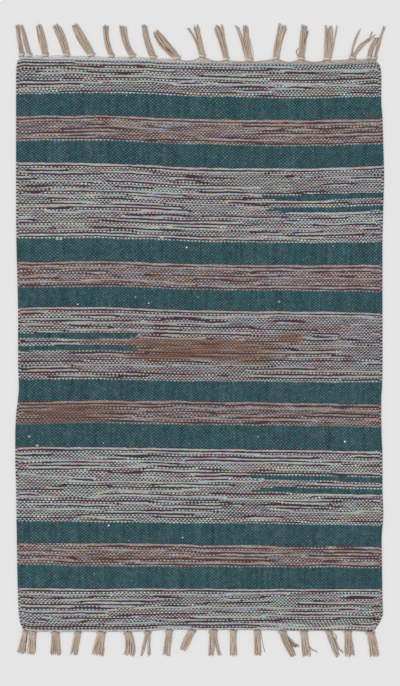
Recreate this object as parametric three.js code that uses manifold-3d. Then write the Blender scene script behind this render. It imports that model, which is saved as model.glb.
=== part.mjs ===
// Kilim rug: a flat weft-faced cloth with a strip of bare warp and a row of knotted tassels at each end.
// Millimetres, +Z up. The origin is on the floor under the middle of the rug.
// +X runs along the wefts and +Y along the warps, towards the end with the longer tassels.
import * as THREE from 'three';
import Module from 'manifold-3d';

const wasm = await Module();
wasm.setup();

// Sizes of the cloth
const CLOTH_THICK = 5;
const EDGE_ROUND = 1.8;
const EDGE_STEPS = 2;
const FELL_STEPS = 30;
const SELVEDGE_STEPS = 40;

// Sizes of the bare warp and the tassels
const WARP_THICK = 2.2;
const SEAT_GAP = 0.3;
const CORNER_DEPTH = 1.2;
const SHOULDER_SHARE = 0.55;
const LEAST_DEPTH = 1.2;
const SCALLOP_STEPS = 3;
const KNOT_LENGTH = 9;
const KNOT_HEIGHT = 8;
const KNOT_SLANT = 1.3;
const KNOT_GRIP = 0.8;
const STRAND_HEIGHT = 2.6;
const STRAND_WIDEST = 3.1;
const STRAND_FILL = 0.84;
const TIP_SHARE = 0.7;
const LENGTH_SPREAD = 0.11;
const FORK_CURVE = 1.4;
const TANGENT_REACH = 0.01;

// Colours, and how matt each yarn is
const FIELD_COLOUR = 0x6d7478;
const FIELD_ROUGHNESS = 0.95;
const WARP_COLOUR = 0xb9aea6;
const TASSEL_COLOUR = 0xb39d88;
const COTTON_ROUGHNESS = 0.9;

// Numbers that feed chance(), which gives each strand its own length
const CHANCE_STEP = 12.9898;
const CHANCE_SCALE = 43758.5453;
const TASSEL_SEED = 17;
const STRAND_SEED = 3;

// Turns a table with named columns into a list of objects, one for each row.
function table(columns, values) {
  return values.map((row) => Object.fromEntries(columns.map((name, i) => [name, row[i]])));
}

// The two woven edges, from the top corners to the bottom ones. They wander a few millimetres
// and draw in at the corners.
const SELVEDGES = table(['y', 'left', 'right'], [
  [684, -460, 448],
  [660, -461, 451],
  [600, -461, 451],
  [555, -461, 454],
  [490, -461, 456],
  [410, -461, 458],
  [330, -461, 456],
  [240, -460, 454],
  [160, -458, 454],
  [60, -456, 454],
  [-60, -456, 454],
  [-120, -454, 453],
  [-145, -456, 451],
  [-190, -461, 451],
  [-240, -463, 452],
  [-290, -463, 454],
  [-370, -461, 454],
  [-440, -460, 456],
  [-500, -459, 452],
  [-570, -458, 453],
  [-650, -456, 454],
  [-684, -454, 455],
  [-702, -452, 450],
  [-714, -448, 443],
]);

// The line of the last weft at each end, from left to right.
const TOP_FELL = table(['x', 'y'], [
  [-457, 697.5],
  [-443, 703],
  [-414, 701.5],
  [-381, 700.8],
  [-326, 701],
  [-295, 700],
  [-207, 697.7],
  [-139, 697.5],
  [-114, 695.5],
  [-76, 693.2],
  [-26, 692.2],
  [36, 690.8],
  [99, 689.8],
  [161, 690],
  [261, 688.3],
  [299, 687.6],
  [361, 690.2],
  [399, 691.8],
  [430, 693.5],
  [443, 691],
]);
const BOTTOM_FELL = table(['x', 'y'], [
  [-444, -722],
  [-432, -726],
  [-351, -727.5],
  [-281, -726],
  [-206, -727.5],
  [-151, -726.5],
  [-89, -722.5],
  [-26, -722],
  [49, -722.5],
  [161, -723],
  [249, -725],
  [361, -724.5],
  [426, -727],
  [436, -724],
]);

// One row for each tassel, from left to right. neck is the bare warp between the last weft and the knot.
// lean is how far the tip lies to the right of the knot, and bow how far the middle is pushed to the right.
// wide is the knot's width, tip the width of the strands at their ends, and belly how much wider than
// between those two they are halfway. The first fork strands, or the last ones if they are fewer, part from
// the others by part at their tips. They begin to do so at the share opens of their length. swell is how far
// the bare warp's edge rises past the line from this knot to the next.
const TASSEL_COLUMNS = [
  'x', 'neck', 'strands', 'lean', 'bow', 'reach', 'wide', 'tip', 'belly', 'fork', 'part', 'opens', 'swell',
];
const TOP_TASSELS = table(TASSEL_COLUMNS, [
  [-448, 6.5, 4, -11, 0, 74, 13, 9, 0, 0, 0, 0, 0],
  [-429, 5, 4, -20, 0, 74, 12, 8, 0, 0, 0, 0, 3.5],
  [-389, 6.5, 7, -17, 1, 74, 16, 13, 4, 0, 0, 0, 3.5],
  [-336, 7, 8, -27, 3.5, 74, 16, 13, 6, 0, 0, 0, 1.5],
  [-274, 8.5, 8, -43, 0, 74, 18, 14, 6, 0, 0, 0, 0.5],
  [-223, 7.5, 6, -14, -5.5, 76, 13, 13, 0, 0, 0, 0, 2],
  [-171, 7.5, 7, -25, -6, 77, 16, 14, 0, 6, 4, 0.3, 3],
  [-119, 6, 7, -22, -3.5, 80, 18, 12, 1, 0, 0, 0, 2],
  [-59, 7, 8, -54, -3.5, 67, 16, 14, 10, 0, 0, 0, -4.5],
  [4, 14, 7, -19.5, 0, 76, 15, 20, 0, 2, 10, 0.35, -4],
  [63, 7.5, 7, -22, 1.5, 84, 15, 19, 0, 6, 2.5, 0.3, 0],
  [121, 5.5, 8, -12, -3, 86, 19, 24, 1, 3, 11.5, 0.45, 0],
  [188, 11, 7, 20, -2, 81, 17, 22, 0, 2, 3, 0, -5.5],
  [251, 10.5, 7, 9, 0, 83, 17, 13, 3, 0, 0, 0, -3.5],
  [316, 10, 8, 5, 2, 83, 20, 20, 4, 7, 12, 0.35, 0],
  [379, 10, 6, 40, -4.5, 47, 16, 12, 0, 2, 28, 0, -0.5],
  [421, 8, 5, 19, -3, 50, 12, 9, 0, 0, 0, 0, -0.5],
  [436, 7.5, 4, 23, -1, 78, 9, 7, 0, 0, 0, 0, 0],
]);
const BOTTOM_TASSELS = table(TASSEL_COLUMNS, [
  [-439, 2.5, 6, -12, 0, 52, 13, 18, 0, 0, 0, 0, -0.4],
  [-419, 2.5, 7, -4, 0, 52, 16, 19, 0, 0, 0, 0, -0.8],
  [-364, 2.5, 8, 1, 0, 53, 21, 27, 0, 0, 0, 0, -0.8],
  [-308, 2.5, 6, -9, 0, 53, 18, 18, 0, 0, 0, 0, -0.8],
  [-249, 2.5, 9, -9, 0, 54, 22, 31, 0, 0, 0, 0, -0.8],
  [-183, 2.5, 8, 4, 4, 54, 20, 29, 0, 0, 0, 0, -0.8],
  [-133, 2.5, 6, 0, 0, 58, 16, 15, 0, 3, 11, 0, -0.8],
  [-79, 2.5, 6, -7, 0, 59, 19, 18, 0, 0, 0, 0, -0.8],
  [-22, 2.5, 7, -22, -1, 46, 19, 15, 4, 0, 0, 0, -0.8],
  [31, 2.5, 8, -1, 0, 59, 22, 21, 0, 5, 11, 0.3, -0.8],
  [81, 2.5, 6, 0, 0, 59, 18, 17, 0, 0, 0, 0, -0.8],
  [141, 2.5, 7, 2, 0, 59, 17, 16, 0, 0, 0, 0, -0.8],
  [204, 2.5, 7, 27, -1, 59, 19, 13, 2, 0, 0, 0, -0.8],
  [258, 2.5, 8, 7, 0, 59, 18, 21, 0, 0, 0, 0, -0.8],
  [320, 2.5, 6, 23, -1, 59, 16, 13, 0, 0, 0, 0, -0.8],
  [368, 2.5, 8, 5, -1, 59, 19, 25, 0, 0, 0, 0, -0.8],
  [424, 2.5, 8, 11, 1, 58, 22, 23, 0, 0, 0, 0, 0],
]);

// A knot's turns of yarn: where each ring lies along the knot, and its size against the fattest one.
const KNOT_RINGS = table(['along', 'size'], [
  [-0.5, 0.58],
  [-0.34, 0.95],
  [-0.08, 0.8],
  [0.12, 1],
  [0.34, 0.84],
  [0.5, 0.66],
]);
const KNOT_SIDES = 7;

// How much of a knot's round section, in radians, is the flat that it rests on.
const KNOT_FLAT_ARC = THREE.MathUtils.degToRad(80);
const KNOT_FIRST_ANGLE = (KNOT_FLAT_ARC - Math.PI) / 2;
const KNOT_ANGLE_STEP = (2 * Math.PI - KNOT_FLAT_ARC) / (KNOT_SIDES - 1);

// A number from 0 to 1 that looks random and is the same every time.
function chance(seed) {
  const value = Math.sin(seed * CHANCE_STEP) * CHANCE_SCALE;
  return value - Math.floor(value);
}

// Points spaced along a smooth line through the given ones.
function smoothLine(points, steps) {
  const stops = points.map(([x, y]) => new THREE.Vector3(x, y, 0));
  const curve = new THREE.CatmullRomCurve3(stops, false, 'centripetal');
  return curve.getPoints(steps).map((p) => new THREE.Vector2(p.x, p.y));
}

// The height of a left-to-right line at x.
function heightAt(line, x) {
  const next = line.findIndex((p) => p.x >= x);
  if (next < 0) return line[line.length - 1].y;
  if (next === 0) return line[0].y;
  const [a, b] = [line[next - 1], line[next]];
  return THREE.MathUtils.mapLinear(x, a.x, b.x, a.y, b.y);
}

// A closed skin through rings of points, each ring counterclockwise about the direction of travel.
function loft(rings) {
  const sides = rings[0].length;
  const last = (rings.length - 1) * sides;
  const faces = [];
  for (let start = 0; start < last; start += sides) {
    for (let i = 0; i < sides; i++) {
      const a = start + i;
      const b = start + ((i + 1) % sides);
      faces.push(a, b, b + sides);
      faces.push(a, b + sides, a + sides);
    }
  }
  for (let i = 1; i + 1 < sides; i++) {
    faces.push(0, i + 1, i);
    faces.push(last, last + i, last + i + 1);
  }
  const vertProperties = new Float32Array(rings.flat().flatMap((p) => p.toArray()));
  return new wasm.Manifold(new wasm.Mesh({ numProp: 3, vertProperties, triVerts: new Uint32Array(faces) }));
}

function geometryOf(solid) {
  const { vertProperties, triVerts } = solid.getMesh();
  const shared = new THREE.BufferGeometry();
  shared.setAttribute('position', new THREE.BufferAttribute(vertProperties, 3));
  shared.setIndex(new THREE.BufferAttribute(triVerts, 1));
  const faceted = shared.toNonIndexed();
  faceted.computeVertexNormals();
  return faceted;
}

function named(name, geometry, material) {
  const mesh = new THREE.Mesh(geometry, material);
  mesh.name = name;
  return mesh;
}

// The woven ground: one flat cloth with rounded edges.
function makeField(topFell, bottomFell) {
  const right = smoothLine(SELVEDGES.map((s) => [s.right, s.y]), SELVEDGE_STEPS);
  const left = smoothLine(SELVEDGES.map((s) => [s.left, s.y]), SELVEDGE_STEPS);
  const outline = [...topFell, ...right, ...bottomFell.toReversed(), ...left.toReversed()];
  const geometry = new THREE.ExtrudeGeometry(new THREE.Shape(outline), {
    depth: CLOTH_THICK - 2 * EDGE_ROUND,
    bevelEnabled: true,
    bevelThickness: EDGE_ROUND,
    bevelSize: EDGE_ROUND,
    bevelOffset: -EDGE_ROUND,
    bevelSegments: EDGE_STEPS,
  });
  geometry.translate(0, 0, EDGE_ROUND);
  return geometry;
}

// How far up the rug the inner end of a tassel's knot lies.
function knotStart(fell, tassel, out) {
  return heightAt(fell, tassel.x) + out * tassel.neck;
}

// The bare warp past a fell: level where it meets a knot, and swelling or dipping between two knots.
function makeBareWarp(fell, tassels, out) {
  const [first, last] = [fell[0], fell[fell.length - 1]];
  const past = (x, depth) => heightAt(fell, x) + out * (SEAT_GAP + depth);
  const inner = fell.map((p) => new THREE.Vector2(p.x, p.y + out * SEAT_GAP));
  const outer = [new THREE.Vector2(first.x, past(first.x, CORNER_DEPTH))];
  tassels.forEach((tassel, i) => {
    const half = SHOULDER_SHARE * tassel.wide;
    const level = knotStart(fell, tassel, out) - out * SEAT_GAP;
    outer.push(new THREE.Vector2(Math.max(tassel.x - half, first.x), level));
    outer.push(new THREE.Vector2(Math.min(tassel.x + half, last.x), level));
    const next = tassels[i + 1];
    if (!next) return;
    const from = tassel.x + half;
    const to = next.x - SHOULDER_SHARE * next.wide;
    const nextLevel = knotStart(fell, next, out) - out * SEAT_GAP;
    for (let step = 1; step <= SCALLOP_STEPS; step++) {
      const share = step / (SCALLOP_STEPS + 1);
      const x = THREE.MathUtils.lerp(from, to, share);
      const swell = 4 * share * (1 - share) * tassel.swell;
      const edge = THREE.MathUtils.lerp(level, nextLevel, share) + out * swell;
      outer.push(new THREE.Vector2(x, out * Math.max(out * edge, out * past(x, LEAST_DEPTH))));
    }
  });
  outer.push(new THREE.Vector2(last.x, past(last.x, CORNER_DEPTH)));
  const shape = new THREE.Shape([...inner, ...outer.toReversed()]);
  return new THREE.ExtrudeGeometry(shape, { depth: WARP_THICK, bevelEnabled: false });
}

// A knot: a lump of slanting turns, flat where it rests on the floor.
function makeKnot(x, y, out, wide, slant) {
  const flat = -Math.sin(KNOT_FIRST_ANGLE);
  const rise = KNOT_HEIGHT / (1 + flat);
  const rings = KNOT_RINGS.map(({ along, size }) =>
    Array.from({ length: KNOT_SIDES }, (_, i) => {
      const angle = KNOT_FIRST_ANGLE + i * KNOT_ANGLE_STEP;
      const across = size * (wide / 2) * Math.cos(angle);
      const turn = Math.abs(along) < 0.5 ? slant * Math.cos(angle) : 0;
      const height = i === 0 || i === KNOT_SIDES - 1 ? 0 : size * rise * (flat + Math.sin(angle));
      return new THREE.Vector3(x - out * across, y + out * (along * KNOT_LENGTH + turn), height);
    }),
  );
  return loft(rings);
}

// One strand: a three-sided lock that lies on the floor, from inside the knot to its own tip.
function makeStrand(tassel, y, out, index, seed, steps) {
  const place = (index + 0.5) / tassel.strands - 0.5;
  const first = index < tassel.fork;
  const firstGoes = tassel.fork * 2 <= tassel.strands;
  const pull = first === firstGoes && tassel.fork > 0 ? (first ? -tassel.part : tassel.part) : 0;
  const centre = (t) =>
    new THREE.Vector2(tassel.x + tassel.lean * t + 4 * tassel.bow * t * (1 - t), y + out * tassel.reach * t);
  const parted = (t) => pull * (Math.max(0, t - tassel.opens) / (1 - tassel.opens)) ** FORK_CURVE;
  const end = 1 - LENGTH_SPREAD * chance(seed);
  const rings = [];
  for (let step = 0; step <= steps; step++) {
    const t = (end * step) / steps;
    const along = centre(t + TANGENT_REACH).sub(centre(t - TANGENT_REACH)).normalize();
    const side = new THREE.Vector2(along.y, -along.x).multiplyScalar(out);
    const even = THREE.MathUtils.lerp(KNOT_GRIP * tassel.wide, tassel.tip, t);
    const spread = even + 4 * tassel.belly * t * (1 - t);
    const middle = centre(t).addScaledVector(side, place * spread + parted(t));
    const taper = step === steps ? TIP_SHARE : 1;
    const half = (taper * Math.min(STRAND_WIDEST, (STRAND_FILL * spread) / tassel.strands)) / 2;
    rings.push([
      new THREE.Vector3(middle.x - along.y * half, middle.y + along.x * half, 0),
      new THREE.Vector3(middle.x, middle.y, taper * STRAND_HEIGHT),
      new THREE.Vector3(middle.x + along.y * half, middle.y - along.x * half, 0),
    ]);
  }
  return loft(rings);
}

// A tassel: its knot with the roots of its strands fused in.
function makeTassel(fell, tassel, out, number, steps) {
  const y = knotStart(fell, tassel, out) + (out * KNOT_LENGTH) / 2;
  const slant = (number % 2 ? 1 : -1) * KNOT_SLANT;
  const parts = [makeKnot(tassel.x, y, out, tassel.wide, slant)];
  for (let index = 0; index < tassel.strands; index++) {
    const seed = number * TASSEL_SEED + index * STRAND_SEED + out;
    parts.push(makeStrand(tassel, y, out, index, seed, steps));
  }
  return geometryOf(wasm.Manifold.union(parts));
}

const fabric = (color, roughness) => new THREE.MeshStandardMaterial({ color, roughness, metalness: 0 });
const fieldMaterial = fabric(FIELD_COLOUR, FIELD_ROUGHNESS);
const warpMaterial = fabric(WARP_COLOUR, COTTON_ROUGHNESS);
const tasselMaterial = fabric(TASSEL_COLOUR, COTTON_ROUGHNESS);

const topFell = smoothLine(TOP_FELL.map((p) => [p.x, p.y]), FELL_STEPS);
const bottomFell = smoothLine(BOTTOM_FELL.map((p) => [p.x, p.y]), FELL_STEPS);
const ENDS = [
  { name: 'top', fell: topFell, tassels: TOP_TASSELS, out: 1, steps: 4 },
  { name: 'bottom', fell: bottomFell, tassels: BOTTOM_TASSELS, out: -1, steps: 3 },
];

const rug = new THREE.Group();
rug.add(named('field', makeField(topFell, bottomFell), fieldMaterial));
for (const { name, fell, tassels, out, steps } of ENDS) {
  rug.add(named(`bare_warp_${name}`, makeBareWarp(fell, tassels, out), warpMaterial));
  tassels.forEach((tassel, i) => {
    const label = `tassel_${name}_${String(i + 1).padStart(2, '0')}`;
    rug.add(named(label, makeTassel(fell, tassel, out, i + 1, steps), tasselMaterial));
  });
}

export default rug;
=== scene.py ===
# A flat-woven kilim rug with knotted fringes, laid on a pale floor and seen from straight above.
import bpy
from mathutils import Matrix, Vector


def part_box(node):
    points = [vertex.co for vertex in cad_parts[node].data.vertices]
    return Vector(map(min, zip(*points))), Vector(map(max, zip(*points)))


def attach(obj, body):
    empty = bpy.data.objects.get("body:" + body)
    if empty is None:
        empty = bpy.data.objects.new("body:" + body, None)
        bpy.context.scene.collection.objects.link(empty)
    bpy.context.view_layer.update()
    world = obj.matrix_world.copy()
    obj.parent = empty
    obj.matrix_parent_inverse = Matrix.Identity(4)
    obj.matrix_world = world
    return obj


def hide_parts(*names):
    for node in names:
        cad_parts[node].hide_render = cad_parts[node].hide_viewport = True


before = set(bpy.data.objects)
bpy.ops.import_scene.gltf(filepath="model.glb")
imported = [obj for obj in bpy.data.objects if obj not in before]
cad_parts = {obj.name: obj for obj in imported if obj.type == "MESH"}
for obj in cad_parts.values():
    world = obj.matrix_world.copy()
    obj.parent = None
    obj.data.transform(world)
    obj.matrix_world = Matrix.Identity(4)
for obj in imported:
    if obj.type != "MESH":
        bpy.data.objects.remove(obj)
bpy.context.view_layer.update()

import math
from collections import namedtuple

import bpy
import numpy as np

# Every length below is in millimetres. A mesh is made in metres by multiplying with MM.
MM = 0.001

# Sizes of the weave
CLOTH_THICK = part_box("field")[1].z / MM
FLOAT_HEIGHT = 0.55
FLOAT_UNEVENNESS = 0.5
WEAVE_LEVEL = CLOTH_THICK - 0.3
RIM_LEVEL = CLOTH_THICK - 0.9
SIDE_LEVEL = 2.4
EDGE_INSET = 1.0
UNDERSIDE_INSET = 1.2
LOOP_OUT = 0.9
LOOP_IN = 0.1
ROW_WANDER = 1.1
ROW_JITTER = 0.25
WARP_WANDER = 0.6
ROW_HILLS = (58, 14)
WARP_HILLS = (30, 100)
RELIEF_SCALE = 90.0
TIGHTER_TO_THE_RIGHT = 0.06
WARPS = 200
UNDERSIDE_STEP = 4

# Look of the weave: how quickly and how far floats sway from their places, how softly the two strands of
# a row turn over and part, how far the weave runs on at the cloth's side and foot, and the brown streaks
SWAY_SCALE = 0.35
MARL_SWAY = 0.5
TEAL_MORE_SWAY = 0.7
SOFT_TURN = 0.06
SOFT_SPLIT = 0.09
SELVEDGE_WARPS = 0.9
EDGE_PICKS = (0.6, 1.2)
BROWN_FADE = 6
STREAKS = 9
FINE_STREAKS = 40

# Sizes of the fringe
KNOT_LENGTH = 9
KNOT_HEIGHT = 8
KNOT_GRIP = 0.8
KNOT_SLANT = 1.2
KNOT_PROUD = 0.4
KNOT_TAPER = 0.9
KNOT_ANGLES = (-110, 290)
KNOT_STEPS = 26
INNER_RADIUS = 1.35
OUTER_RADIUS = 1.6
OUTER_SPACING = 3.1
LAYER_RISE = 1.3
STRAND_STEPS = 16
LOOSE_STEPS = 6
# Tone ranges of the strands. The inner ones lie beneath and are a little darker, painted shade in the cracks
# between the outer strands.
INNER_TONES_WITH_PAINTED_SHADE = (0.34, 0.56)
OUTER_TONES = (0.42, 0.68)
FRAY_RADIUS = 0.35
FRAY_ROOT = 3
FRAY_REACH = (2, 4.5)
FRAY_SPREAD = 1.6
FRAY_STEPS = 4
FRAYS = 3
FORK_CURVE = 1.4
WARP_RADIUS = 0.85
WARP_STEPS = 9
WARP_GATHER = 0.8
HEADER_RADIUS = 0.6
EDGE_THREAD_RADIUS = 0.9
EDGE_THREAD_TONE = 0.08
HEADER_THICK = 1.4
BACKING_STEP = 2.5
THREAD_STEP = 2.3
THREAD_SWAY = 0.5
THREAD_HILLS = 90
TAN_FADE = 40
SEAT_GAP = 0.3
CORNER_DEPTH = 1.2
SHOULDER_SHARE = 0.55
LEAST_DEPTH = 1.2
LENGTH_SPREAD = 0.11

# The two kinds of yarn: how far apart a yarn's rings of points lie, the length of one turn of its twist, the
# sides of a ring, and how thick it is beside its width
Yarn = namedtuple("Yarn", "spacing pitch sides waist")
TASSEL_YARN = Yarn(2.0, 18.0, 8, 0.9)
WARP_YARN = Yarn(2.2, 7.0, 6, 0.66)

# Seeds of the random fields
JITTER_SEED = 11
ROW_SEED = 12
WARP_SEED = 13
STREAK_SEED = 21
FINE_STREAK_SEED = 22
FLECK_SEED = 31
RELIEF_SEED = 5.0

# The floor, just below the rug
FLOOR_REACH = 4000
FLOOR_LEVEL = -0.2

# The light: its strength, its spread and its turn in degrees, and its colour, and those of the pale room
KEY_STRENGTH = 1.75
KEY_SPREAD = 24
KEY_TURN = (28, -30, 0)
KEY_COLOUR = (1.0, 0.985, 0.965)
ROOM_STRENGTH = 0.55
ROOM_COLOUR = (0.97, 0.985, 1.0, 1.0)

# Where the camera looks, the height of the frame it takes in, its lens and its sensor
FRAME_CENTRE = (-1.25, -7.5)
FRAME_HEIGHT = 1715
LENS = 100
SENSOR = 36

# The two selvedges from the top down: y, the left edge's x and the right edge's x.
SELVEDGES = [
    (684, -460, 448), (660, -461, 451), (600, -461, 451), (555, -461, 454), (490, -461, 456),
    (410, -461, 458), (330, -461, 456), (240, -460, 454), (160, -458, 454), (60, -456, 454),
    (-60, -456, 454), (-120, -454, 453), (-145, -456, 451), (-190, -461, 451), (-240, -463, 452),
    (-290, -463, 454), (-370, -461, 454), (-440, -460, 456), (-500, -459, 452), (-570, -458, 453),
    (-650, -456, 454), (-684, -454, 455), (-702, -452, 450), (-714, -448, 443),
]

# The line of the last weft at each end, from left to right: x and y.
TOP_FELL = [
    (-457, 697.5), (-443, 703), (-414, 701.5), (-381, 700.8), (-326, 701), (-295, 700),
    (-207, 697.7), (-139, 697.5), (-114, 695.5), (-76, 693.2), (-26, 692.2), (36, 690.8),
    (99, 689.8), (161, 690), (261, 688.3), (299, 687.6), (361, 690.2), (399, 691.8), (430, 693.5),
    (443, 691),
]
BOTTOM_FELL = [
    (-444, -722), (-432, -726), (-351, -727.5), (-281, -726), (-206, -727.5), (-151, -726.5),
    (-89, -722.5), (-26, -722), (49, -722.5), (161, -723), (249, -725), (361, -724.5), (426, -727),
    (436, -724),
]

# The bands from the top down: their yarn, their rows of weft, and the y of their lower edge at five stations.
STATIONS = (-456, -251, -1, 249, 449)
BANDS = [
    ("cool", 19, (615, 618.25, 610.25, 604.5, 609.5)),
    ("teal", 15, (560, 564, 552.75, 550.25, 555)),
    ("warm", 15, (498, 500.25, 489.75, 485.25, 490.5)),
    ("teal", 15, (446.25, 443.5, 433, 430.75, 436.5)),
    ("cool", 44, (254, 255, 246.75, 243.25, 246)),
    ("teal", 15, (195.5, 198.75, 190.75, 188.75, 190)),
    ("warm", 15, (132, 133.5, 126.25, 123.25, 120.25)),
    ("teal", 15, (83.25, 84, 75.75, 73, 69.75)),
    ("cool", 41, (-97.5, -97.5, -102.5, -103.75, -105)),
    ("teal", 15, (-152.5, -149.5, -151.75, -156.75, -159)),
    ("warm", 13, (-210, -206.75, -211.25, -213.25, -218)),
    ("teal", 15, (-266.5, -266.5, -270, -273.75, -277)),
    ("cool", 43, (-451.5, -454.75, -457.5, -460.5, -463.75)),
    ("teal", 15, (-506.5, -506.5, -510.25, -514.75, -515.25)),
    ("warm", 13, (-560, -564.75, -566, -567, -570)),
    ("teal", 15, (-619, -620, -620.5, -621.25, -622.25)),
    ("cool", 25, None),
]

# The cool band that is a little warmer than the others, and the warm band that is duller
WARMER_BAND = 8
DULLER_BAND = 10

# Wedges of teal that run in from a selvedge: the band's place in the list, the first row in that band,
# the side, and the x that each of the wedge's three rows reaches.
WEDGES = [
    (4, 16, "right", (150, 160, 187)),
    (4, 23, "right", (185, 168, 166)),
    (8, 15, "left", (-160, -164, -177)),
    (8, 22, "left", (-164, -158, -170)),
    (12, 15, "right", (122, 128, 160)),
    (12, 22, "right", (186, 150, 132)),
]

# Where brown wool shows in place of the pale strand: x from and to, y from and to, and how much of it.
BROWN_PLACES = [
    (-330, -130, 10, -4, 0.75),
    (-240, 230, 2, -50, 0.85),
    (60, 200, -50, -60, 0.7),
    (190, 262, 16, -6, 0.8),
    (-460, -190, -160, -210, 0.65),
]

# Flecks of other fibre spun into the yarn, and yarn ends that show at the face: colour, and x and y of each.
# SMALL_FLECKS is how many more lie anywhere.
Fleck = namedtuple("Fleck", "name colour places")
BLUE_PLACES = [(126, 115), (356, 218), (101, -148), (31, -248), (86, -245), (-229, -235), (-119, -250)]
RED_PLACES = [(74, -68), (236, -262), (-326, -140)]
PALE_PLACES = [
    (-34, 232), (-131, 92), (196, 95), (361, -255), (-231, -465), (-356, 252), (-351, 252),
    (-99, 255), (-94, 255), (441, -280),
]
CREAM_PLACES = [(-411, -265), (-309, 88), (-46, -492), (-426, -240)]
FLECKS = [
    Fleck("blue", (30, 104, 124), BLUE_PLACES),
    Fleck("red", (140, 38, 50), RED_PLACES),
    Fleck("pale", (206, 208, 202), PALE_PLACES),
    Fleck("cream", (196, 190, 150), CREAM_PLACES),
]
SMALL_FLECKS = 90

# One row for each tassel, from left to right. neck is the bare warp between the last weft and the knot.
# lean is how far the tip lies to the right of the knot, and bow how far the middle is pushed to the right.
# wide is the knot's width and tip the width of the strands at their ends. swell is how far the bare warp's
# edge rises past the line from this knot to the next. belly is how much wider than between wide and tip the
# strands are halfway. The first fork strands, or the last ones if they are fewer, part from the others by
# part at their tips, and begin to do so at the share opens of their length.
TASSEL_FIELDS = "x neck strands lean bow reach wide tip swell belly fork part opens"
Tassel = namedtuple("Tassel", TASSEL_FIELDS, defaults=(0, 0, 0, 0))
TOP_TASSELS = [
    (-448, 6.5, 4, -11, 0, 74, 13, 9, 0),
    (-429, 5, 4, -20, 0, 74, 12, 8, 3.5),
    (-389, 6.5, 7, -17, 1, 74, 16, 13, 3.5, 4),
    (-336, 7, 8, -27, 3.5, 74, 16, 13, 1.5, 6),
    (-274, 8.5, 8, -43, 0, 74, 18, 14, 0.5, 6),
    (-223, 7.5, 6, -14, -5.5, 76, 13, 13, 2),
    (-171, 7.5, 7, -25, -6, 77, 16, 14, 3, 0, 6, 4, 0.3),
    (-119, 6, 7, -22, -3.5, 80, 18, 12, 2, 1),
    (-59, 7, 8, -54, -3.5, 67, 16, 14, -4.5, 10),
    (4, 14, 7, -19.5, 0, 76, 15, 20, -4, 0, 2, 10, 0.35),
    (63, 7.5, 7, -22, 1.5, 84, 15, 19, 0, 0, 6, 2.5, 0.3),
    (121, 5.5, 8, -12, -3, 86, 19, 24, 0, 1, 3, 11.5, 0.45),
    (188, 11, 7, 20, -2, 81, 17, 22, -5.5, 0, 2, 3),
    (251, 10.5, 7, 9, 0, 83, 17, 13, -3.5, 3),
    (316, 10, 8, 5, 2, 83, 20, 20, 0, 4, 7, 12, 0.35),
    (379, 10, 6, 40, -4.5, 47, 16, 12, -0.5, 0, 2, 28),
    (421, 8, 5, 19, -3, 50, 12, 9, -0.5),
    (436, 7.5, 4, 23, -1, 78, 9, 7, 0),
]
BOTTOM_TASSELS = [
    (-439, 2.5, 6, -12, 0, 52, 13, 18, -0.4),
    (-419, 2.5, 7, -4, 0, 52, 16, 19, -0.8),
    (-364, 2.5, 8, 1, 0, 53, 21, 27, -0.8),
    (-308, 2.5, 6, -9, 0, 53, 18, 18, -0.8),
    (-249, 2.5, 9, -9, 0, 54, 22, 31, -0.8),
    (-183, 2.5, 8, 4, 4, 54, 20, 29, -0.8),
    (-133, 2.5, 6, 0, 0, 58, 16, 15, -0.8, 0, 3, 11),
    (-79, 2.5, 6, -7, 0, 59, 19, 18, -0.8),
    (-22, 2.5, 7, -22, -1, 46, 19, 15, -0.8, 4),
    (31, 2.5, 8, -1, 0, 59, 22, 21, -0.8, 0, 5, 11, 0.3),
    (81, 2.5, 6, 0, 0, 59, 18, 17, -0.8),
    (141, 2.5, 7, 2, 0, 59, 17, 16, -0.8),
    (204, 2.5, 7, 27, -1, 59, 19, 13, -0.8, 2),
    (258, 2.5, 8, 7, 0, 59, 18, 21, -0.8),
    (320, 2.5, 6, 23, -1, 59, 16, 13, -0.8),
    (368, 2.5, 8, 5, -1, 59, 19, 25, -0.8),
    (424, 2.5, 8, 11, 1, 58, 22, 23, 0),
]

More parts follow.
